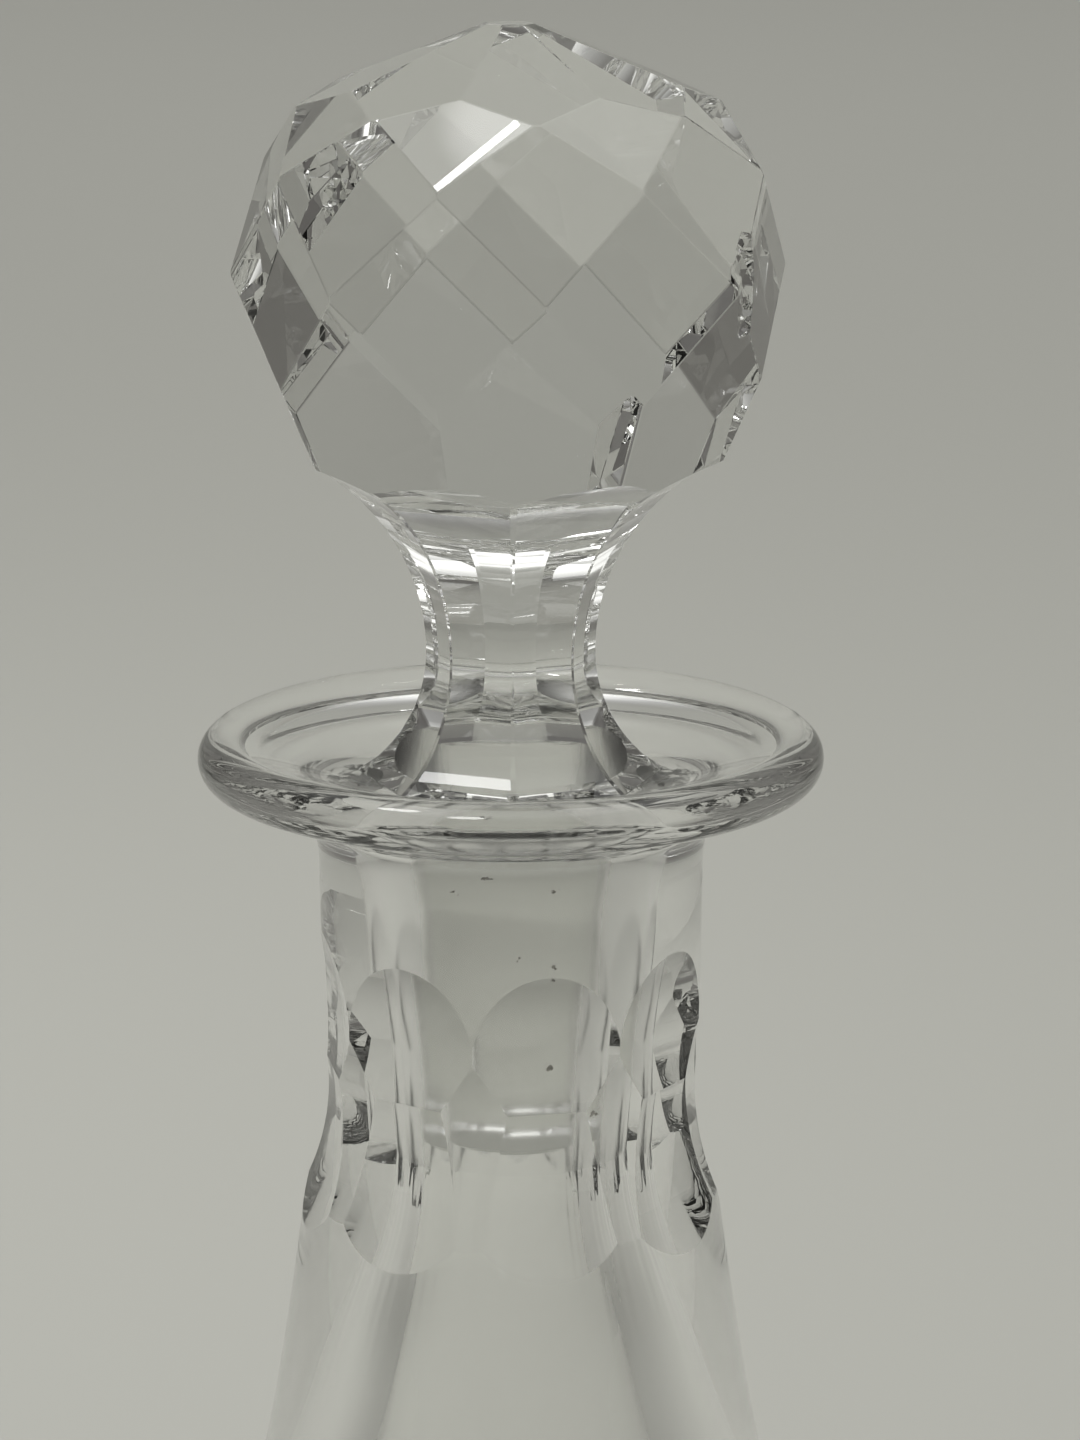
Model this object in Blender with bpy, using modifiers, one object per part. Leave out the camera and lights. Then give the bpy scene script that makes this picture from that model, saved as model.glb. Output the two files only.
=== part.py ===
"""Cut crystal decanter: a heavy wheel-cut bottle and its faceted ball stopper.

Metres, +Z up. The origin is the middle of the base, on the surface that the bottle stands on.
A glass cutter marks a neck from the lip down, so outlines are (radius, depth below the lip) in
millimetres, and negative depths stand above the lip."""

import math

import bmesh
import bpy
from mathutils import Matrix, Vector

MM = 0.001

# Bottle
LIP_HEIGHT = 238.0
RIM_RADIUS = 26.55
RIM_TUBE = 2.45
NECK_RADIUS = 17.9
BELLY_RADIUS = 53.0
BELLY_DEPTH = 188.0
FOOT_RADIUS = 46.8
FOOT_ROUND = 2.0
FOOT_RING_WIDTH = 6.5
BASE_HOLLOW = 1.8
BOTTLE_STEPS = 40

# Ground joint between the plug and the neck
PLUG_TOP = (8.9, 5.2)
PLUG_END = (7.2, 38.3)
PLUG_CHAMFER = 0.5
SEAT_GAP = 0.2
SEAT_END_DEPTH = 40.5
PLUG_STEPS = 32

# Stopper
BALL_DEPTH = -43.0
BALL_FLAT_RADIUS = 23.3
BALL_TURN = -4.0
STEM_SIDES = 8
STEM_TURN = -10.0
STEM_RADIUS = 7.8
STEM_WAIST_DEPTH = -7.4
STEM_UPPER_WHEEL = 19.7
STEM_LOWER_WHEEL = 13.5
COLLAR_RADIUS = 14.1
COLLAR_DEPTH = 3.9

# Each row of ball facets: latitude, distance from the middle as a share of BALL_FLAT_RADIUS, and
# whether it sits half a facet round from the rows beside it.
BALL_ROWS = (
    (67.5, 0.893, False),
    (45.0, 0.983, True),
    (22.5, 0.999, False),
    (0.0, 1.0, True),
    (-22.5, 1.008, False),
)
BALL_AROUND = 8
BALL_TABLE_SHARE = 0.93

# Each row of hollow wheel cuts: depth of its middle, radius left there, cutting wheel's radius, and
# whether it sits half a cut round from the rows beside it.
NECK_AROUND = 8
NECK_ROWS = (
    (26.9, 16.5, 25.0, False),
    (33.4, 17.1, 26.0, True),
    (35.3, 16.8, 24.5, False),
)
BELLY_AROUND = 16
BELLY_ROWS = (
    (180.0, 51.7, 42.0, False),
    (188.5, 51.7, 42.0, True),
    (197.0, 51.5, 42.0, False),
)
WHEEL_WIDTH = 26.0
WHEEL_STEPS = 64

CRYSTAL_COLOUR = (0.93, 0.94, 0.93, 1.0)


def clear_scene():
    for obj in list(bpy.data.objects):
        bpy.data.objects.remove(obj, do_unlink=True)


def new_collection(name):
    collection = bpy.data.collections.new(name)
    bpy.context.scene.collection.children.link(collection)
    return collection


def crystal(name):
    """Clear polished lead crystal."""
    material = bpy.data.materials.new(name)
    material.use_nodes = True
    shader = material.node_tree.nodes["Principled BSDF"]
    shader.inputs["Base Color"].default_value = CRYSTAL_COLOUR
    shader.inputs["Metallic"].default_value = 0.0
    shader.inputs["Roughness"].default_value = 0.02
    shader.inputs["IOR"].default_value = 1.545
    shader.inputs["Transmission Weight"].default_value = 1.0
    return material


def add_object(name, mesh, collection):
    obj = bpy.data.objects.new(name, mesh)
    collection.objects.link(obj)
    return obj


def hide_tool(obj):
    obj.hide_render = True
    obj.display_type = "WIRE"
    return obj


def height(depth):
    """Height above the base, in metres, of a depth below the lip in millimetres."""
    return (LIP_HEIGHT - depth) * MM


def arc(middle, radius, start, end, steps):
    """Points along an arc of an outline; angles in degrees, 0 outwards and 90 up."""
    points = []
    for step in range(steps + 1):
        angle = math.radians(start + (end - start) * step / steps)
        points.append((middle[0] + radius * math.cos(angle), middle[1] - radius * math.sin(angle)))
    return points


def smooth(points, steps):
    """A Catmull-Rom curve through the points, with this many steps between neighbours."""
    ends = [Vector(point) for point in points]
    ends = [2 * ends[0] - ends[1]] + ends + [2 * ends[-1] - ends[-2]]
    curve = []
    for before, start, end, after in zip(ends, ends[1:], ends[2:], ends[3:]):
        for step in range(steps):
            t = step / steps
            bend = (2 * before - 5 * start + 4 * end - after) * t * t
            twist = (3 * start - before - 3 * end + after) * t * t * t
            curve.append(tuple(0.5 * (2 * start + (end - before) * t + bend + twist)))
    curve.append(tuple(points[-1]))
    return curve


def turned(name, outline, steps, collection):
    """A solid of revolution about Z: the outline at +X, spun with a Screw modifier."""
    bm = bmesh.new()
    verts = [bm.verts.new((radius * MM, 0.0, height(depth))) for radius, depth in outline]
    for start, end in zip(verts, verts[1:]):
        bm.edges.new((start, end))
    mesh = bpy.data.meshes.new(name)
    bm.to_mesh(mesh)
    bm.free()
    obj = add_object(name, mesh, collection)
    screw = obj.modifiers.new("turned", "SCREW")
    screw.axis = "Z"
    screw.steps = steps
    screw.render_steps = steps
    screw.use_merge_vertices = True
    screw.merge_threshold = 0.00001
    screw.use_smooth_shade = False
    return obj


def combine(obj, operation, other):
    """One exact Boolean with an object or with every object of a collection."""
    boolean = obj.modifiers.new(f"{operation.lower()}_{other.name}", "BOOLEAN")
    boolean.operation = operation
    boolean.solver = "EXACT"
    if isinstance(other, bpy.types.Collection):
        boolean.operand_type = "COLLECTION"
        boolean.collection = other
    else:
        boolean.object = other


# Bottle


def lip_outline():
    """From the mouth, up the dished top, round the rim and under it to the neck."""
    mouth_radius = PLUG_TOP[0] + SEAT_GAP
    mouth = smooth([(mouth_radius, 8.0), (mouth_radius + 0.6, 6.4), (11.4, 5.5)], 2)
    dish = smooth([(14.6, 4.6), (20.0, 2.7), (24.6, 0.8)], 2)
    rim = arc((RIM_RADIUS, RIM_TUBE), RIM_TUBE, 112, -98, 10)
    underside = smooth([(24.9, 5.1), (21.9, 5.7), (19.3, 7.6), (NECK_RADIUS, 12.5)], 2)
    return mouth + dish + rim + underside


def outer_outline():
    """From the neck down the shoulder and body to the foot ring and the hollow base."""
    body = smooth(
        [
            (NECK_RADIUS, 26.0),
            (18.5, 35.0),
            (19.9, 47.0),
            (21.5, 58.0),
            (23.7, 70.4),
            (29.2, 90.0),
            (37.8, 112.0),
            (46.2, 137.0),
            (51.6, 163.0),
            (BELLY_RADIUS, BELLY_DEPTH),
            (51.4, 209.0),
            (48.8, 224.0),
            (FOOT_RADIUS, LIP_HEIGHT - FOOT_ROUND),
        ],
        2,
    )
    foot = arc((FOOT_RADIUS - FOOT_ROUND, LIP_HEIGHT - FOOT_ROUND), FOOT_ROUND, -30, -90, 2)
    ring_inside = FOOT_RADIUS - FOOT_ROUND - FOOT_RING_WIDTH
    hollow = smooth(
        [(ring_inside, LIP_HEIGHT), (20.0, LIP_HEIGHT - 0.75 * BASE_HOLLOW), (0.0, LIP_HEIGHT - BASE_HOLLOW)],
        2,
    )
    return body + foot + hollow


def inner_outline():
    """From the middle of the inner floor up the chamber to the ground seat."""
    chamber = smooth(
        [
            (0.0, 226.0),
            (24.0, 224.6),
            (39.0, 218.6),
            (45.6, 204.0),
            (47.9, 186.0),
            (46.3, 163.0),
            (40.2, 137.0),
            (30.4, 112.0),
            (20.3, 90.0),
            (13.2, 70.2),
            (10.2, 57.0),
            (7.9, 46.0),
        ],
        1,
    )
    seat_end = PLUG_END[0] + SEAT_GAP
    return chamber + [(seat_end, SEAT_END_DEPTH)]


def wheel_cuts(name, around, rows, tools):
    """The cutting wheels of one band: each turns about a level axis that is square to the radius."""
    band = bpy.data.collections.new(name)
    tools.children.link(band)
    for row, (depth, radius_left, wheel_radius, staggered) in enumerate(rows):
        bm = bmesh.new()
        bmesh.ops.create_cone(
            bm,
            cap_ends=True,
            segments=WHEEL_STEPS,
            radius1=wheel_radius * MM,
            radius2=wheel_radius * MM,
            depth=WHEEL_WIDTH * MM,
            matrix=Matrix.Rotation(math.radians(90), 4, "X"),
        )
        mesh = bpy.data.meshes.new(f"{name}_{row}")
        bm.to_mesh(mesh)
        bm.free()
        for place in range(around):
            turn = Matrix.Rotation(math.tau * (place + 0.5 * staggered) / around, 4, "Z")
            out = Matrix.Translation(((radius_left + wheel_radius) * MM, 0.0, height(depth)))
            wheel = add_object(f"{name}_{row}_{place}", mesh, band)
            wheel.matrix_world = turn @ out
            hide_tool(wheel)
    return band


def make_bottle(parts, tools):
    outline = inner_outline() + lip_outline() + outer_outline()
    bottle = turned("bottle", outline, BOTTLE_STEPS, parts)
    combine(bottle, "DIFFERENCE", wheel_cuts("neck_cuts", NECK_AROUND, NECK_ROWS, tools))
    combine(bottle, "DIFFERENCE", wheel_cuts("belly_cuts", BELLY_AROUND, BELLY_ROWS, tools))
    bottle.data.materials.append(crystal("bottle_crystal"))
    return bottle


# Stopper


def grind_flat(bm, normal, distance):
    """Takes off everything further out along the normal than the distance, and closes the flat."""
    cut = bmesh.ops.bisect_plane(
        bm,
        geom=bm.verts[:] + bm.edges[:] + bm.faces[:],
        dist=1e-7,
        plane_co=normal * distance,
        plane_no=normal,
        clear_outer=True,
    )
    rim = [item for item in cut["geom_cut"] if isinstance(item, bmesh.types.BMEdge)]
    if rim:
        bmesh.ops.contextual_create(bm, geom=rim)


def faceted_ball(name, collection):
    """The ball's flats, ground in staggered rows from the top table down to the stem."""
    flat = BALL_FLAT_RADIUS * MM
    bm = bmesh.new()
    bmesh.ops.create_cube(bm, size=2.4 * flat)
    grind_flat(bm, Vector((0.0, 0.0, 1.0)), BALL_TABLE_SHARE * flat)
    for latitude, share, staggered in BALL_ROWS:
        for place in range(BALL_AROUND):
            azimuth = math.tau * (place + 0.5 * staggered) / BALL_AROUND + math.radians(BALL_TURN)
            level = math.cos(math.radians(latitude))
            rise = math.sin(math.radians(latitude))
            normal = Vector((level * math.cos(azimuth), level * math.sin(azimuth), rise))
            grind_flat(bm, normal, share * flat)
    mesh = bpy.data.meshes.new(name)
    bmesh.ops.translate(bm, verts=bm.verts, vec=(0.0, 0.0, height(BALL_DEPTH)))
    bm.to_mesh(mesh)
    bm.free()
    return add_object(name, mesh, collection)


def stem_outline():
    """The arris between two panels: down from outside the ball, in to the waist and out to the collar."""
    waist = STEM_WAIST_DEPTH
    reach = STEM_UPPER_WHEEL * 0.98
    upper_middle = (STEM_RADIUS + STEM_UPPER_WHEEL, waist)
    lower_middle = (STEM_RADIUS + STEM_LOWER_WHEEL, waist)
    collar_angle = math.degrees(math.asin((COLLAR_DEPTH - waist) / STEM_LOWER_WHEEL))
    upper_angle = math.degrees(math.asin(reach / STEM_UPPER_WHEEL))
    upper = arc(upper_middle, STEM_UPPER_WHEEL, 180 - upper_angle, 180, 14)
    lower = arc(lower_middle, STEM_LOWER_WHEEL, 180, 180 + collar_angle * 0.86, 7)[1:]
    top = [(0.0, -80.0), (40.0, -80.0), (40.0, waist - reach)]
    collar = [(COLLAR_RADIUS, COLLAR_DEPTH), (COLLAR_RADIUS - 2.4, PLUG_TOP[1] - 0.6), (0.0, PLUG_TOP[1] - 0.6)]
    return top + upper + lower + collar


def make_stopper(parts, tools):
    stopper = faceted_ball("stopper", parts)
    blank = [(0.0, BALL_DEPTH), (15.0, BALL_DEPTH), (15.0, 10.0), (0.0, 10.0)]
    stem_blank = hide_tool(turned("stem_blank", blank, PLUG_STEPS, tools))
    stem_shape = hide_tool(turned("stem_shape", stem_outline(), STEM_SIDES, tools))
    stem_shape.rotation_euler.z = math.radians(STEM_TURN)
    taper = (PLUG_TOP[0] - PLUG_END[0]) / (PLUG_END[1] - PLUG_TOP[1])
    plug_outline = [
        (0.0, 3.0),
        (PLUG_TOP[0], 3.0),
        PLUG_TOP,
        (PLUG_END[0] + taper * PLUG_CHAMFER, PLUG_END[1] - PLUG_CHAMFER),
        (PLUG_END[0] - PLUG_CHAMFER, PLUG_END[1]),
        (0.0, PLUG_END[1]),
    ]
    plug = hide_tool(turned("plug_shape", plug_outline, PLUG_STEPS, tools))
    combine(stopper, "UNION", stem_blank)
    combine(stopper, "INTERSECT", stem_shape)
    combine(stopper, "UNION", plug)
    stopper.data.materials.append(crystal("stopper_crystal"))
    return stopper


def main():
    clear_scene()
    parts = new_collection("cut_crystal_decanter")
    tools = new_collection("cutters")
    tools.hide_render = True
    make_bottle(parts, tools)
    make_stopper(parts, tools)


main()
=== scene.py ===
"""Looks of the cut crystal decanter: optical-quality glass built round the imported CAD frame.

Metres, +Z up. Outlines are (radius, depth below the lip) in millimetres, as a glass cutter marks them."""

import math

import bmesh
import bpy
import numpy as np
from mathutils import Matrix, Vector


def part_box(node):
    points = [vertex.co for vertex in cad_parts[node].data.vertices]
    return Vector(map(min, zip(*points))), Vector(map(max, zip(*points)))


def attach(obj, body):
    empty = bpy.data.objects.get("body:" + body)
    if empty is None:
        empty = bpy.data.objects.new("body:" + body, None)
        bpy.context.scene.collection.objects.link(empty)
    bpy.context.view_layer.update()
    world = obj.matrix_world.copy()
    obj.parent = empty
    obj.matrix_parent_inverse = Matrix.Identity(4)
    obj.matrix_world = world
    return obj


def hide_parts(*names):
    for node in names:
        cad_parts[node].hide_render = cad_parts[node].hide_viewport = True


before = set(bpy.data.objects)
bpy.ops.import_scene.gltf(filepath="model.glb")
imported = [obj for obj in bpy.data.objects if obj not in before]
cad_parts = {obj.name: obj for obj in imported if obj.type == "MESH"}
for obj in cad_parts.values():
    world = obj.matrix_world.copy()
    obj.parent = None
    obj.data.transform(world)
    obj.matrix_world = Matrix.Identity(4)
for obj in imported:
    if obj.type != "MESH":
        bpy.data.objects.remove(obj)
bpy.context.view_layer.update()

MM = 0.001
BOTTLE_LOW, BOTTLE_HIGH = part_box("bottle")
LIP_TOP = BOTTLE_HIGH[2]
LIP_HEIGHT = LIP_TOP / MM
SEED = 7
GENERATOR = np.random.default_rng(SEED)

# Bottle
RIM_RADIUS = 26.55
RIM_TUBE = 2.45
NECK_RADIUS = 17.9
BELLY_RADIUS = 53.0
BELLY_DEPTH = 188.0
FOOT_RADIUS = 46.8
FOOT_ROUND = 2.0
FOOT_RING_WIDTH = 6.5
BASE_HOLLOW = 1.8
BOTTLE_STEPS = 296
OUTLINE_SPACING = 2.5

# Ground joint
PLUG_TOP = (8.9, 5.2)
PLUG_END = (7.2, 38.3)
PLUG_CHAMFER = 0.5
SEAT_GAP = 0.2
SEAT_TOP_DEPTH = 8.0
SEAT_END_DEPTH = 40.5
PLUG_STEPS = 192

# Stopper
BALL_DEPTH = -43.0
BALL_FLAT_RADIUS = 23.3
EDGE_POLISH = 0.09
STEM_SIDES = 8
STEM_RADIUS = 7.8
STEM_WAIST_DEPTH = -7.4
STEM_UPPER_WHEEL = 19.7
STEM_LOWER_WHEEL = 13.5
COLLAR_RADIUS = 14.1
COLLAR_DEPTH = 3.9
COLLAR_ROOT = (9.3, 5.3)
COLLAR_LIP = 0.3
STEM_ARRIS = 1.1
STEM_SHAPE_TOP = (40.0, -80.0)
STEM_BLANK_RADIUS = 15.0
STEM_BLANK_DEPTH = 10.0
STEM_REACH = 0.98
STEM_FOOT_SHARE = 0.86
# Rows of ground flats on the ball: latitude, distance as a share of the main flats', staggered
BALL_ROWS = (
    (67.5, 0.893, False),
    (45.0, 0.983, True),
    (22.5, 0.999, False),
    (0.0, 1.0, True),
    (-22.5, 1.008, False),
)
BALL_AROUND = 8
STOPPER_TURN = -4.0
STEM_TURN = -6.0
# The chip in one of the ball's edges: its place, then each bite's height from the middle and its size
CHIP_TURN = -37.0
CHIP_REACH = 23.4
CHIP_SET_BACK = 0.45
CHIP_ROUGHNESS = 0.12
CHIP_BITES = ((3.0, 1.6), (1.0, 2.6), (-1.4, 2.3), (-3.4, 1.4))
BALL_TABLE_SHARE = 0.93

# Wheel cuts: depth of the cut's middle, radius left there, wheel radius, staggered
NECK_AROUND = 8
NECK_ROWS = (
    (26.9, 16.5, 25.0, False),
    (33.4, 17.1, 26.0, True),
    (35.3, 16.8, 24.5, False),
)
BELLY_AROUND = 16
BELLY_ROWS = (
    (180.0, 51.7, 42.0, False),
    (188.5, 51.7, 42.0, True),
    (197.0, 51.5, 42.0, False),
)
WHEEL_WIDTH = 26.0
WHEEL_STEPS = 360

# Star under the base: sixteen rays cut with a mitre wheel
STAR_RAYS = 16
STAR_WHEEL = 60.0
STAR_DEEP = 2.3
STAR_MIDDLE = 19.5
STAR_HALF_ANGLE = 50.0
STAR_WHEEL_STEPS = 240

# Upright waves: how strong at each depth of the blown chamber, how many round the wall, and their size
WALL_WAVES = ((41.0, 0.0), (43.0, 2.2), (50.0, 1.6), (58.0, 0.35), (150.0, 0.2), (200.0, 0.0))
WAVE_RATES = (19, 27, 38, 47, 61)
WAVE_SIZE = 0.006
PLUG_WAVE_RATES = (9, 14, 23, 31)
PLUG_WAVE_SIZE = 0.004

POLISHED, CUT, GROUND = range(3)
BOTTLE_TINT = (0.975, 0.977, 0.966)
STOPPER_TINT = (0.885, 0.89, 0.872)
GLASS_IOR = 1.545
GROUND_ROUGHNESS = 0.16
SMOOTH_ANGLES = {"bottle": 9.5, "stopper": 4.0}
SPECK_COLOUR = (0.10, 0.09, 0.08, 1.0)
SPECK_CELLS = 420.0
SPECK_LIMIT = 0.87
SPECK_RADIUS = 0.15
SPECK_RAGGED_CELLS = 1800.0
SPECK_RAGGED = (0.0014, 0.0014, 0.0008)

FLOOR_COLOUR = (0.36, 0.36, 0.33, 1.0)
FLOOR_ROUGHNESS = 0.9
FLOOR_RADIUS = 30.0

# Surroundings: sine of the elevation and colour
SKY = (
    (0.0, (0.22, 0.22, 0.205)),
    (0.09, (0.13, 0.125, 0.115)),
    (0.35, (0.10, 0.095, 0.09)),
    (0.62, (0.16, 0.155, 0.15)),
    (0.80, (0.50, 0.50, 0.49)),
    (0.93, (1.5, 1.5, 1.47)),
)
# Round patches of the surroundings: azimuth, elevation, colour, angles where it is full and gone
SKY_PATCHES = (
    (0.0, 0.0, (0.30, 0.295, 0.265), 28.0, 46.0),
    (0.0, 18.0, (0.35, 0.35, 0.32), 22.0, 40.0),
    (-105.0, 64.0, (10.0, 10.0, 10.0), 5.0, 5.8),
    (-157.0, 58.0, (10.0, 10.0, 10.0), 5.0, 5.8),
    (-96.3, 73.2, (5.0, 5.0, 5.0), 0.1, 0.9),
)

# Lamps: azimuth, distance and height, then the azimuth and distance aimed at, side and power
LIGHTS = (
    ("floor_light", (-8.0, 2.2, 2.6), (0.0, 2.0), 3.0, 18.0),
    ("front_fill", (180.0, 0.45, 1.0), (180.0, 0.4), 0.6, 1.6),
    ("pool_light", (-32.0, 0.5, 0.9), (-22.0, 0.5), 0.4, 3.6),
)
# The ends of a thin bar of light, as azimuth, elevation and distance from the ball's middle
WINDOW_EDGE = ((-99.8745, 71.8653, 2.0119), (-98.3396, 73.5381, 2.0147))
WINDOW_WIDTH = 0.0042
WINDOW_BRIGHTNESS = 14.0

# The camera turns about a point CAMERA_RISE above the lip's middle, and looks CAMERA_SIDE to the right of it
CAMERA_DISTANCE = 0.40
CAMERA_AZIMUTH = -11.0
CAMERA_ELEVATION = 14.0
CAMERA_LENS = 108.0
CAMERA_SIDE = 0.0027
CAMERA_RISE = 0.0007


# Outlines


def height(depth):
    return LIP_TOP - depth * MM


def arc(middle, radius, start, end, steps):
    """Points along an arc of an outline; angles in degrees, 0 outwards and 90 up."""
    angles = np.radians(np.linspace(start, end, steps + 1))
    return np.stack([middle[0] + radius * np.cos(angles), middle[1] - radius * np.sin(angles)], axis=1)


def spline(points, spacing=OUTLINE_SPACING):
    """A natural cubic spline through the points, sampled at about this spacing."""
    points = np.array(points, float)
    chord = np.concatenate([[0.0], np.cumsum(np.linalg.norm(np.diff(points, axis=0), axis=1))])
    gap = np.diff(chord)
    count = len(points)
    matrix = np.eye(count)
    right = np.zeros((count, 2))
    slope = np.diff(points, axis=0) / gap[:, None]
    for i in range(1, count - 1):
        matrix[i, i - 1 : i + 2] = gap[i - 1], 2 * (gap[i - 1] + gap[i]), gap[i]
        right[i] = 6 * (slope[i] - slope[i - 1])
    bend = np.linalg.solve(matrix, right)
    samples = np.linspace(0.0, chord[-1], max(3, int(round(chord[-1] / spacing)) + 1))
    span = np.clip(np.searchsorted(chord, samples, side="right") - 1, 0, count - 2)
    width = gap[span][:, None]
    left = (chord[span + 1] - samples)[:, None]
    past = (samples - chord[span])[:, None]
    return (
        (bend[span] * left**3 + bend[span + 1] * past**3) / (6 * width)
        + (points[span] / width - bend[span] * width / 6) * left
        + (points[span + 1] / width - bend[span + 1] * width / 6) * past
    )


def join_outlines(*pieces):
    """One outline from several, without the points that meet."""
    joined = [pieces[0]]
    for piece in pieces[1:]:
        start = 1 if np.linalg.norm(piece[0] - joined[-1][-1]) < 1e-6 else 0
        joined.append(piece[start:])
    return np.concatenate(joined)


def lip_outline():
    mouth = PLUG_TOP[0] + SEAT_GAP
    rim = arc((RIM_RADIUS, RIM_TUBE), RIM_TUBE, 112, -104, 30)
    dish = [(11.4, 5.5), (14.6, 4.45), (20.0, 2.45), (24.6, 0.59)]
    inside = spline([(mouth, SEAT_TOP_DEPTH), (mouth + 0.6, 6.4), *dish, rim[0]], 0.4)
    under = spline(
        [(24.9, 5.1), (21.9, 5.7), (19.3, 7.6), (NECK_RADIUS + 0.1, 11.0), (NECK_RADIUS, 14.0)], 0.4
    )
    return join_outlines(inside, rim, under)


def outer_outline():
    body = spline(
        [
            (NECK_RADIUS, 14.0),
            (NECK_RADIUS, 26.0),
            (18.5, 35.0),
            (19.9, 47.0),
            (21.5, 58.0),
            (23.7, 70.4),
            (29.2, 90.0),
            (37.8, 112.0),
            (46.2, 137.0),
            (51.6, 163.0),
            (BELLY_RADIUS, BELLY_DEPTH),
            (51.4, 209.0),
            (48.8, 224.0),
            (FOOT_RADIUS, LIP_HEIGHT - FOOT_ROUND),
        ]
    )
    foot = arc((FOOT_RADIUS - FOOT_ROUND, LIP_HEIGHT - FOOT_ROUND), FOOT_ROUND, 0, -90, 8)
    ring_inside = FOOT_RADIUS - FOOT_ROUND - FOOT_RING_WIDTH
    ring = np.array([(ring_inside + 0.3, LIP_HEIGHT)])
    hollow = spline(
        [
            (ring_inside, LIP_HEIGHT - 0.1),
            (20.0, LIP_HEIGHT - 0.75 * BASE_HOLLOW),
            (0.0, LIP_HEIGHT - BASE_HOLLOW),
        ],
        2.0,
    )
    return join_outlines(body, foot, ring, hollow)


def inner_outline():
    chamber = spline(
        [
            (0.0, 226.0),
            (24.0, 224.6),
            (39.0, 218.6),
            (45.6, 204.0),
            (47.9, 186.0),
            (46.3, 163.0),
            (40.2, 137.0),
            (30.4, 112.0),
            (20.3, 90.0),
            (13.2, 70.2),
            (10.2, 57.0),
            (7.9, 46.0),
            (PLUG_END[0] + SEAT_GAP, SEAT_END_DEPTH),
        ]
    )
    seat_end = (PLUG_END[0] + SEAT_GAP, SEAT_END_DEPTH)
    seat = np.linspace(seat_end, (PLUG_TOP[0] + SEAT_GAP, SEAT_TOP_DEPTH), 8)
    return chamber, seat


# Meshes


def even_turn(steps):
    """Equal angles once round the axis."""
    return np.arange(steps) * math.tau / steps


def waves(rows, steps, rates, size):
    """Upright waves round a blown or ground wall, in millimetres: the rows share them, scaled by rows."""
    turn = even_turn(steps)
    wave = np.zeros(steps)
    for rate in rates:
        wave += GENERATOR.uniform(0.5, 1.0) * np.cos(rate * turn + GENERATOR.uniform(0.0, math.tau))
    return size * np.asarray(rows)[:, None] * wave[None, :]


def turned_mesh(name, outline, turn, slots, ripple=None):
    """A solid from an outline that starts and ends on the axis, repeated at each angle of turn. slots has one
    material index for each stretch between neighbouring points, ripple one radius change for each vertex."""
    radius = outline[1:-1, 0]
    depth = outline[1:-1, 1]
    steps = len(turn)
    grid = np.repeat(radius[:, None], steps, axis=1)
    if ripple is not None:
        grid = grid + ripple
    rise = np.repeat(height(depth)[:, None], steps, axis=1)
    ring = np.stack([grid * np.cos(turn) * MM, grid * np.sin(turn) * MM, rise], axis=2).reshape(-1, 3)
    first = np.array([[0.0, 0.0, height(outline[0, 1])]])
    last = np.array([[0.0, 0.0, height(outline[-1, 1])]])
    verts = np.concatenate([first, ring, last])
    rows = len(radius)
    faces = []
    indices = []
    for step in range(steps):
        after = (step + 1) % steps
        faces.append((0, 1 + step, 1 + after))
        indices.append(slots[0])
    for row in range(rows - 1):
        base = 1 + row * steps
        for step in range(steps):
            after = (step + 1) % steps
            faces.append((base + step, base + steps + step, base + steps + after, base + after))
            indices.append(slots[row + 1])
    base = 1 + (rows - 1) * steps
    end = 1 + rows * steps
    for step in range(steps):
        after = (step + 1) % steps
        faces.append((base + step, end, base + after))
        indices.append(slots[-1])
    mesh = bpy.data.meshes.new(name)
    mesh.from_pydata(verts.tolist(), [], faces)
    mesh.polygons.foreach_set("material_index", indices)
    return mesh


def new_object(name, mesh):
    obj = bpy.data.objects.new(name, mesh)
    bpy.context.scene.collection.objects.link(obj)
    return obj


def wheel_mesh(name, wheel_radius, width, steps):
    """A cutting wheel with a flat edge, whose axis lies along Y."""
    bm = bmesh.new()
    bmesh.ops.create_cone(
        bm,
        cap_ends=True,
        segments=steps,
        radius1=wheel_radius * MM,
        radius2=wheel_radius * MM,
        depth=width * MM,
        matrix=Matrix.Rotation(math.radians(90), 4, "X"),
    )
    for face in bm.faces:
        face.material_index = CUT
    mesh = bpy.data.meshes.new(name)
    bm.to_mesh(mesh)
    bm.free()
    return mesh


def mitre_mesh(name, wheel_radius, half_angle, steps):
    """A cutting wheel with a V edge, whose axis lies along Y."""
    half = wheel_radius * math.tan(math.radians(90 - half_angle)) * MM
    bm = bmesh.new()
    bmesh.ops.create_cone(
        bm, cap_ends=False, segments=steps, radius1=wheel_radius * MM, radius2=0.0, depth=half,
        matrix=Matrix.Rotation(math.radians(90), 4, "X") @ Matrix.Translation((0, 0, half / 2)),
    )
    bmesh.ops.create_cone(
        bm, cap_ends=False, segments=steps, radius1=0.0, radius2=wheel_radius * MM, depth=half,
        matrix=Matrix.Rotation(math.radians(90), 4, "X") @ Matrix.Translation((0, 0, -half / 2)),
    )
    bmesh.ops.remove_doubles(bm, verts=bm.verts, dist=1e-7)
    bmesh.ops.recalc_face_normals(bm, faces=bm.faces)
    for face in bm.faces:
        face.material_index = CUT
    mesh = bpy.data.meshes.new(name)
    bm.to_mesh(mesh)
    bm.free()
    return mesh


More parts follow.
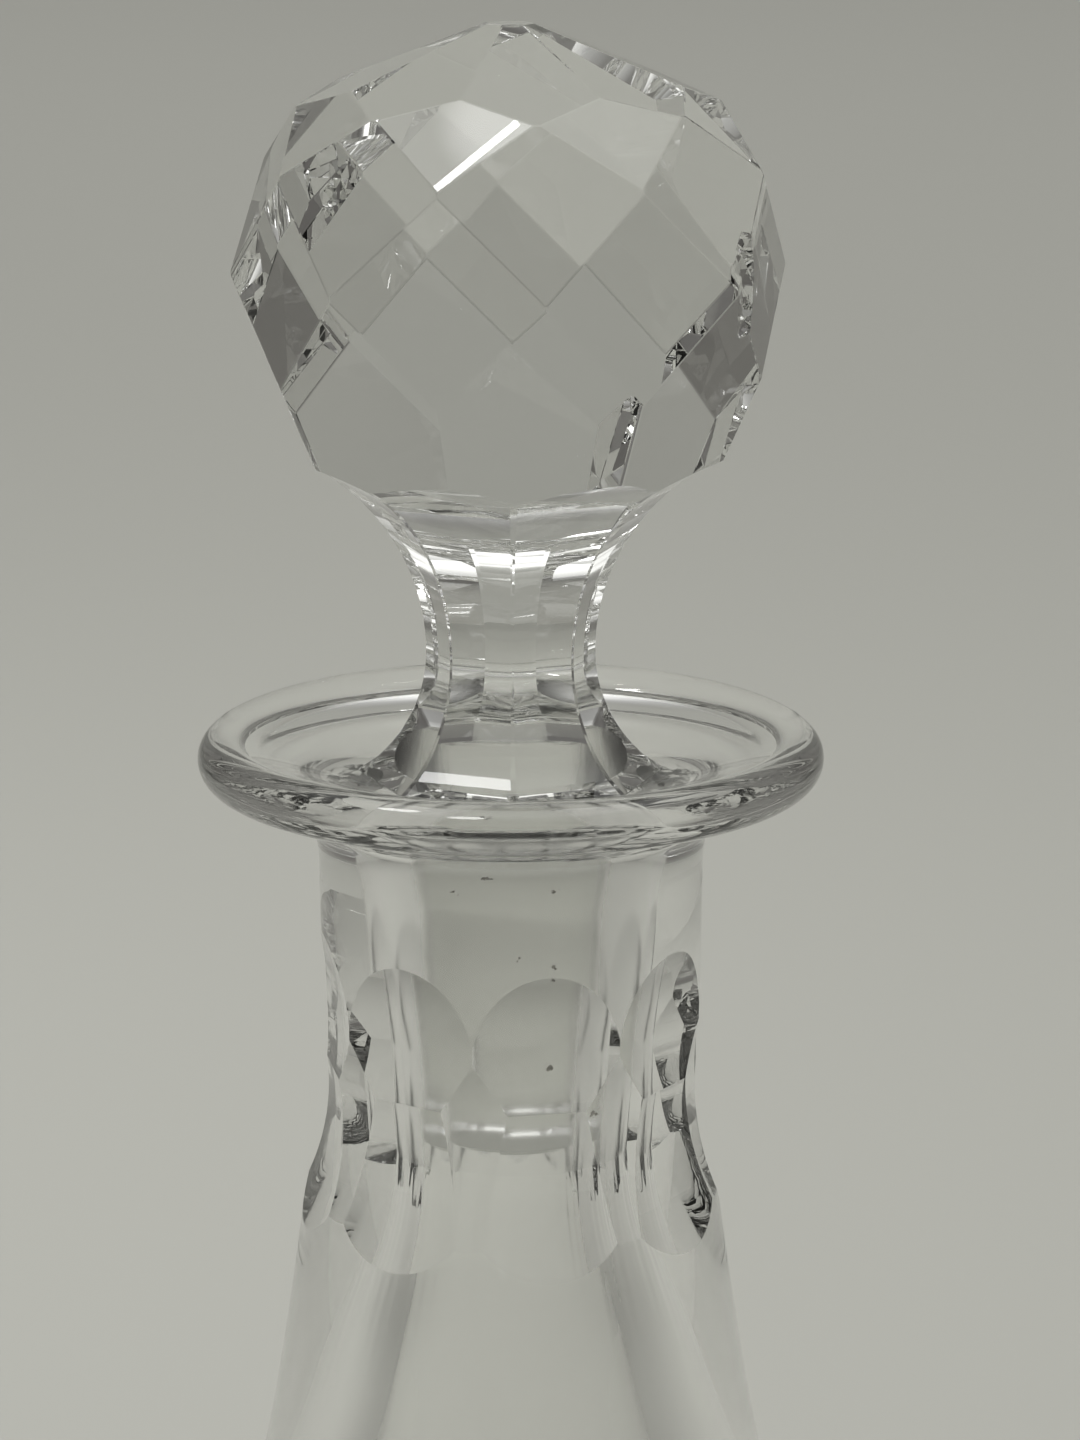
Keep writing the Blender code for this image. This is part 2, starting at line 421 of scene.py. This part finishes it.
def placed_cutters(name, around, rows):
    """The flat wheels that cut rows of round hollows into the outside of the wall."""
    cutters = []
    for row, (depth, radius_left, wheel_radius, staggered) in enumerate(rows):
        mesh = wheel_mesh(f"{name}_{row}", wheel_radius, WHEEL_WIDTH, WHEEL_STEPS)
        for place in range(around):
            turn = Matrix.Rotation(math.tau * (place + 0.5 * staggered) / around, 4, "Z")
            out = Matrix.Translation(((radius_left + wheel_radius) * MM, 0.0, height(depth)))
            wheel = new_object(f"{name}_{row}_{place}", mesh)
            wheel.matrix_world = turn @ out
            cutters.append(wheel)
    return cutters


def star_cutters():
    """The mitre wheels that cut the rays of the star into the base."""
    mesh = mitre_mesh("star_wheel", STAR_WHEEL, STAR_HALF_ANGLE, STAR_WHEEL_STEPS)
    cutters = []
    for ray in range(STAR_RAYS):
        turn = Matrix.Rotation(math.tau * (ray + 0.5) / STAR_RAYS, 4, "Z")
        down = height(LIP_HEIGHT - BASE_HOLLOW * 0.75) + (STAR_DEEP - STAR_WHEEL) * MM
        wheel = new_object(f"star_{ray}", mesh)
        wheel.matrix_world = turn @ Matrix.Translation((STAR_MIDDLE * MM, 0.0, down))
        cutters.append(wheel)
    return cutters


def carve(obj, operation, tools):
    """Applies one Boolean with the tools, and removes them."""
    collection = bpy.data.collections.new(f"{obj.name}_tools")
    for tool in tools:
        collection.objects.link(tool)
    boolean = obj.modifiers.new("carve", "BOOLEAN")
    boolean.operation = operation
    boolean.solver = "MANIFOLD"
    boolean.operand_type = "COLLECTION"
    boolean.collection = collection
    bpy.context.view_layer.update()
    graph = bpy.context.evaluated_depsgraph_get()
    mesh = bpy.data.meshes.new_from_object(obj.evaluated_get(graph))
    obj.modifiers.clear()
    obj.data = mesh
    for tool in list(tools):
        bpy.data.objects.remove(tool, do_unlink=True)
    bpy.data.collections.remove(collection)


def make_bottle(materials):
    chamber, seat = inner_outline()
    lip = lip_outline()
    outline = join_outlines(chamber, seat, lip, outer_outline())
    slots = [POLISHED] * (len(outline) - 1)
    for i in range(len(chamber) - 1, len(chamber) + len(seat) - 2):
        slots[i] = GROUND
    depth = chamber[1:, 1]
    rows = np.zeros(len(outline) - 2)
    rows[: len(depth)] = np.interp(depth, *zip(*WALL_WAVES))
    ripple = waves(rows, BOTTLE_STEPS, WAVE_RATES, WAVE_SIZE)
    mesh = turned_mesh("bottle_glass", outline, even_turn(BOTTLE_STEPS), slots, ripple)
    for material in materials:
        mesh.materials.append(material)
    bottle = new_object("bottle_glass", mesh)
    carve(bottle, "DIFFERENCE", placed_cutters("neck_cut", NECK_AROUND, NECK_ROWS))
    carve(bottle, "DIFFERENCE", placed_cutters("belly_cut", BELLY_AROUND, BELLY_ROWS))
    carve(bottle, "DIFFERENCE", star_cutters())
    return bottle


def grind_flat(bm, normal, distance):
    """Cuts off what lies past a plane, and closes the solid with one face."""
    cut = bmesh.ops.bisect_plane(
        bm,
        geom=bm.verts[:] + bm.edges[:] + bm.faces[:],
        dist=1e-7,
        plane_co=normal * distance,
        plane_no=normal,
        clear_outer=True,
    )
    rim = [item for item in cut["geom_cut"] if isinstance(item, bmesh.types.BMEdge)]
    if rim:
        bmesh.ops.contextual_create(bm, geom=rim)


def ball_mesh():
    flat = BALL_FLAT_RADIUS * MM
    bm = bmesh.new()
    bmesh.ops.create_cube(bm, size=2.4 * flat)
    grind_flat(bm, Vector((0.0, 0.0, 1.0)), BALL_TABLE_SHARE * flat)
    for latitude, share, staggered in BALL_ROWS:
        for place in range(BALL_AROUND):
            azimuth = math.tau * (place + 0.5 * staggered) / BALL_AROUND
            level = math.cos(math.radians(latitude))
            rise = math.sin(math.radians(latitude))
            grind_flat(bm, Vector((level * math.cos(azimuth), level * math.sin(azimuth), rise)), share * flat)
    polish = EDGE_POLISH * MM
    bmesh.ops.bevel(
        bm, geom=bm.edges[:], offset=polish, segments=1, profile=0.5, affect="EDGES", clamp_overlap=True
    )
    bmesh.ops.translate(bm, verts=bm.verts, vec=(0.0, 0.0, height(BALL_DEPTH)))
    for face in bm.faces:
        face.material_index = CUT
    mesh = bpy.data.meshes.new("stopper_glass")
    bm.to_mesh(mesh)
    bm.free()
    return mesh


def chip_tools():
    """The small bites that took a chip out of one of the ball's edges."""
    tools = []
    for rise, size in CHIP_BITES:
        bm = bmesh.new()
        bmesh.ops.create_icosphere(bm, subdivisions=2, radius=size * MM)
        for vert in bm.verts:
            vert.co *= GENERATOR.uniform(1.0 - CHIP_ROUGHNESS, 1.0 + CHIP_ROUGHNESS)
        for face in bm.faces:
            face.material_index = CUT
        mesh = bpy.data.meshes.new("chip")
        bm.to_mesh(mesh)
        bm.free()
        tool = new_object("chip", mesh)
        reach = CHIP_REACH + CHIP_SET_BACK * size
        turn = math.radians(CHIP_TURN)
        tool.location = (
            reach * math.cos(turn) * MM, reach * math.sin(turn) * MM, height(BALL_DEPTH) + rise * MM
        )
        tools.append(tool)
    return tools


def stem_outline():
    waist = STEM_WAIST_DEPTH
    reach = STEM_UPPER_WHEEL * STEM_REACH
    upper_angle = math.degrees(math.asin(STEM_REACH))
    collar_angle = math.degrees(math.asin((COLLAR_DEPTH - waist) / STEM_LOWER_WHEEL))
    upper = arc((STEM_RADIUS + STEM_UPPER_WHEEL, waist), STEM_UPPER_WHEEL, 180 - upper_angle, 180, 90)
    lower_angle = 180 + collar_angle * STEM_FOOT_SHARE
    lower = arc((STEM_RADIUS + STEM_LOWER_WHEEL, waist), STEM_LOWER_WHEEL, 180, lower_angle, 40)
    clear_radius, clear_depth = STEM_SHAPE_TOP
    top = np.array([(0.0, clear_depth), (clear_radius, clear_depth), (clear_radius, waist - reach)])
    collar = np.array(
        [
            (COLLAR_RADIUS, COLLAR_DEPTH),
            (COLLAR_RADIUS - COLLAR_LIP, COLLAR_DEPTH + COLLAR_LIP),
            COLLAR_ROOT,
            (0.0, COLLAR_ROOT[1]),
        ]
    )
    return join_outlines(top, upper, lower, collar)


def make_stopper(materials):
    mesh = ball_mesh()
    for material in materials:
        mesh.materials.append(material)
    stopper = new_object("stopper_glass", mesh)
    blank = np.array(
        [
            (0.0, BALL_DEPTH),
            (STEM_BLANK_RADIUS, BALL_DEPTH),
            (STEM_BLANK_RADIUS, STEM_BLANK_DEPTH),
            (0.0, STEM_BLANK_DEPTH),
        ]
    )
    blank_mesh = turned_mesh("stem_blank", blank, even_turn(32), [CUT] * 3)
    carve(stopper, "UNION", [new_object("stem_blank", blank_mesh)])
    shape = stem_outline()
    arrises = even_turn(STEM_SIDES)[:, None] + np.radians((-STEM_ARRIS, STEM_ARRIS))[None, :]
    stem_mesh = turned_mesh("stem_shape", shape, arrises.ravel(), [CUT] * (len(shape) - 1))
    stem = new_object("stem_shape", stem_mesh)
    stem.rotation_euler.z = math.radians(STEM_TURN)
    carve(stopper, "INTERSECT", [stem])
    taper = (PLUG_TOP[0] - PLUG_END[0]) / (PLUG_END[1] - PLUG_TOP[1])
    plug = np.array(
        [
            (0.0, 3.0),
            (PLUG_TOP[0], 3.0),
            PLUG_TOP,
            (PLUG_END[0] + taper * PLUG_CHAMFER, PLUG_END[1] - PLUG_CHAMFER),
            (PLUG_END[0] - PLUG_CHAMFER, PLUG_END[1]),
            (0.0, PLUG_END[1]),
        ]
    )
    slots = [POLISHED, POLISHED, GROUND, CUT, CUT]
    ripple = waves([0.0, 1.0, 1.0, 0.0], PLUG_STEPS, PLUG_WAVE_RATES, PLUG_WAVE_SIZE)
    plug_mesh = turned_mesh("plug_shape", plug, even_turn(PLUG_STEPS), slots, ripple)
    carve(stopper, "UNION", [new_object("plug_shape", plug_mesh)])
    carve(stopper, "DIFFERENCE", chip_tools())
    stopper.data.transform(Matrix.Rotation(math.radians(STOPPER_TURN), 4, "Z"))
    return stopper


def shade(obj, angle):
    """Smooth shading, with sharp edges where faces meet at more than this angle in degrees."""
    obj.data.shade_smooth()
    obj.data.set_sharp_from_angle(angle=math.radians(angle))


# Materials


def add_node(tree, kind, inputs=None, **settings):
    """Adds a node; inputs has a value, or the output that feeds it, for a socket's name or place."""
    node = tree.nodes.new(kind)
    for name, value in settings.items():
        setattr(node, name, value)
    for socket, value in (inputs or {}).items():
        if isinstance(value, bpy.types.NodeSocket):
            tree.links.new(value, node.inputs[socket])
        else:
            node.inputs[socket].default_value = value
    return node


def maths(tree, operation, first, second):
    return add_node(tree, "ShaderNodeMath", {0: first, 1: second}, operation=operation).outputs[0]


def vector_maths(tree, operation, inputs):
    return add_node(tree, "ShaderNodeVectorMath", inputs, operation=operation)


def mix_colours(tree, share, first, second):
    inputs = {"Factor": share, "A": first, "B": second}
    return add_node(tree, "ShaderNodeMix", inputs, data_type="RGBA").outputs["Result"]


def glass(name, roughness, tint):
    material = bpy.data.materials.new(name)
    material.use_nodes = True
    shader = material.node_tree.nodes["Principled BSDF"]
    shader.inputs["Base Color"].default_value = (*tint, 1.0)
    shader.inputs["Roughness"].default_value = roughness
    shader.inputs["IOR"].default_value = GLASS_IOR
    shader.inputs["Transmission Weight"].default_value = 1.0
    return material


def ground_glass(name, roughness, tint):
    """Ground glass with a few dark specks of grit caught in the grinding."""
    material = glass(name, roughness, tint)
    tree = material.node_tree
    place = add_node(tree, "ShaderNodeTexCoord").outputs["Object"]
    rough = add_node(tree, "ShaderNodeTexNoise", {"Vector": place, "Scale": SPECK_RAGGED_CELLS})
    ragged = vector_maths(tree, "MULTIPLY_ADD", {0: rough.outputs["Color"], 1: SPECK_RAGGED, 2: place})
    cells = add_node(tree, "ShaderNodeTexVoronoi", {"Vector": ragged.outputs[0], "Scale": SPECK_CELLS})
    pick = add_node(tree, "ShaderNodeSeparateColor", {"Color": cells.outputs["Color"]})
    chosen = maths(tree, "GREATER_THAN", pick.outputs["Red"], SPECK_LIMIT)
    near = maths(tree, "LESS_THAN", cells.outputs["Distance"], SPECK_RADIUS)
    colour = mix_colours(tree, maths(tree, "MULTIPLY", chosen, near), (*tint, 1.0), SPECK_COLOUR)
    tree.links.new(colour, tree.nodes["Principled BSDF"].inputs["Base Color"])
    return material


def crystal(name, tint):
    """The three finishes of one piece, in the order of the material indices."""
    return (
        glass(f"{name}_polished", 0.0, tint),
        glass(f"{name}_cut", 0.0, tint),
        ground_glass(f"{name}_ground", GROUND_ROUGHNESS, tint),
    )


def floor_material():
    material = bpy.data.materials.new("floor")
    material.use_nodes = True
    shader = material.node_tree.nodes["Principled BSDF"]
    shader.inputs["Base Color"].default_value = FLOOR_COLOUR
    shader.inputs["Roughness"].default_value = FLOOR_ROUGHNESS
    return material


# Stage


def make_floor():
    bm = bmesh.new()
    bmesh.ops.create_circle(bm, cap_ends=True, segments=96, radius=FLOOR_RADIUS)
    mesh = bpy.data.meshes.new("floor")
    bm.to_mesh(mesh)
    bm.free()
    mesh.materials.append(floor_material())
    floor = new_object("floor", mesh)
    floor.location.z = BOTTLE_LOW[2]


def toward(azimuth, elevation):
    """A direction from the object: azimuth 0 straight away from the camera, 90 to its right."""
    rise = math.radians(elevation)
    turn = math.radians(azimuth - CAMERA_AZIMUTH)
    return Vector((math.sin(turn) * math.cos(rise), math.cos(turn) * math.cos(rise), math.sin(rise)))


def world_patch(tree, looking, under, direction, colour, full, fade):
    """Mixes a round patch of colour, full up to one angle from its middle and gone at the other."""
    dot = vector_maths(tree, "DOT_PRODUCT", {0: looking, 1: direction}).outputs["Value"]
    inputs = {
        "Value": dot,
        "From Min": math.cos(math.radians(fade)),
        "From Max": math.cos(math.radians(full)),
    }
    share = add_node(tree, "ShaderNodeMapRange", inputs, interpolation_type="SMOOTHSTEP").outputs[0]
    return mix_colours(tree, share, under, (*colour, 1.0))


def make_world():
    world = bpy.data.worlds.new("studio")
    world.use_nodes = True
    bpy.context.scene.world = world
    tree = world.node_tree
    looking = add_node(tree, "ShaderNodeTexCoord").outputs["Generated"]
    split = add_node(tree, "ShaderNodeSeparateXYZ", {0: looking})
    ramp = add_node(tree, "ShaderNodeValToRGB", {"Fac": split.outputs["Z"]})
    while len(ramp.color_ramp.elements) < len(SKY):
        ramp.color_ramp.elements.new(1.0)
    for element, (position, colour) in zip(ramp.color_ramp.elements, SKY):
        element.position = position
        element.color = (*colour, 1.0)
    colour = ramp.outputs["Color"]
    for azimuth, elevation, patch, full, fade in SKY_PATCHES:
        colour = world_patch(tree, looking, colour, toward(azimuth, elevation), patch, full, fade)
    background = tree.nodes["Background"]
    tree.links.new(colour, background.inputs["Color"])
    background.inputs["Strength"].default_value = 1.0


def area_light(name, place, aim, side, power):
    """A square lamp that lights the floor but doesn't show in the glass."""
    light = bpy.data.lights.new(name, "AREA")
    light.size = side
    light.energy = power
    obj = bpy.data.objects.new(name, light)
    obj.location = toward(place[0], 0.0) * place[1] + Vector((0.0, 0.0, place[2]))
    obj.visible_glossy = False
    obj.visible_transmission = False
    look = toward(aim[0], 0.0) * aim[1] - obj.location
    obj.rotation_euler = look.to_track_quat("-Z", "Y").to_euler()
    bpy.context.scene.collection.objects.link(obj)


def window_edge():
    """A narrow bar of light, which shows as the bright line along one facet of the ball."""
    ball = Vector((0.0, 0.0, height(BALL_DEPTH)))
    ends = [ball + toward(azimuth, elevation) * distance for azimuth, elevation, distance in WINDOW_EDGE]
    middle = (ends[0] + ends[1]) / 2
    along = (ends[1] - ends[0]).normalized()
    across = (middle - ball).normalized().cross(along).normalized()
    light = bpy.data.lights.new("window_edge", "AREA")
    light.shape = "RECTANGLE"
    light.size = (ends[1] - ends[0]).length
    light.size_y = WINDOW_WIDTH
    light.energy = WINDOW_BRIGHTNESS * math.pi * light.size * light.size_y
    obj = bpy.data.objects.new("window_edge", light)
    turned = Matrix((along, across, along.cross(across))).transposed().to_4x4()
    obj.matrix_world = Matrix.Translation(middle) @ turned
    bpy.context.scene.collection.objects.link(obj)


def make_camera():
    away = toward(180, CAMERA_ELEVATION)
    right = toward(90, 0)
    target = Vector((0.0, 0.0, LIP_TOP + CAMERA_RISE))
    camera = bpy.data.cameras.new("camera")
    camera.lens = CAMERA_LENS
    camera.clip_start = 0.01
    camera.clip_end = 40.0
    obj = bpy.data.objects.new("camera", camera)
    obj.location = target + away * CAMERA_DISTANCE
    look = target + right * CAMERA_SIDE - obj.location
    obj.rotation_euler = look.to_track_quat("-Z", "Y").to_euler()
    bpy.context.scene.collection.objects.link(obj)
    bpy.context.scene.camera = obj


def main():
    bottle = make_bottle(crystal("bottle", BOTTLE_TINT))
    stopper = make_stopper(crystal("stopper", STOPPER_TINT))
    shade(bottle, SMOOTH_ANGLES["bottle"])
    shade(stopper, SMOOTH_ANGLES["stopper"])
    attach(bottle, "bottle")
    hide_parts("bottle")
    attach(stopper, "stopper")
    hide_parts("stopper")
    make_floor()
    make_world()
    for name, place, aim, side, power in LIGHTS:
        area_light(name, place, aim, side, power)
    window_edge()
    make_camera()
    scene = bpy.context.scene
    scene.cycles.max_bounces = 32
    scene.cycles.transmission_bounces = 32
    scene.cycles.glossy_bounces = 16
    scene.view_settings.view_transform = "Standard"


main()
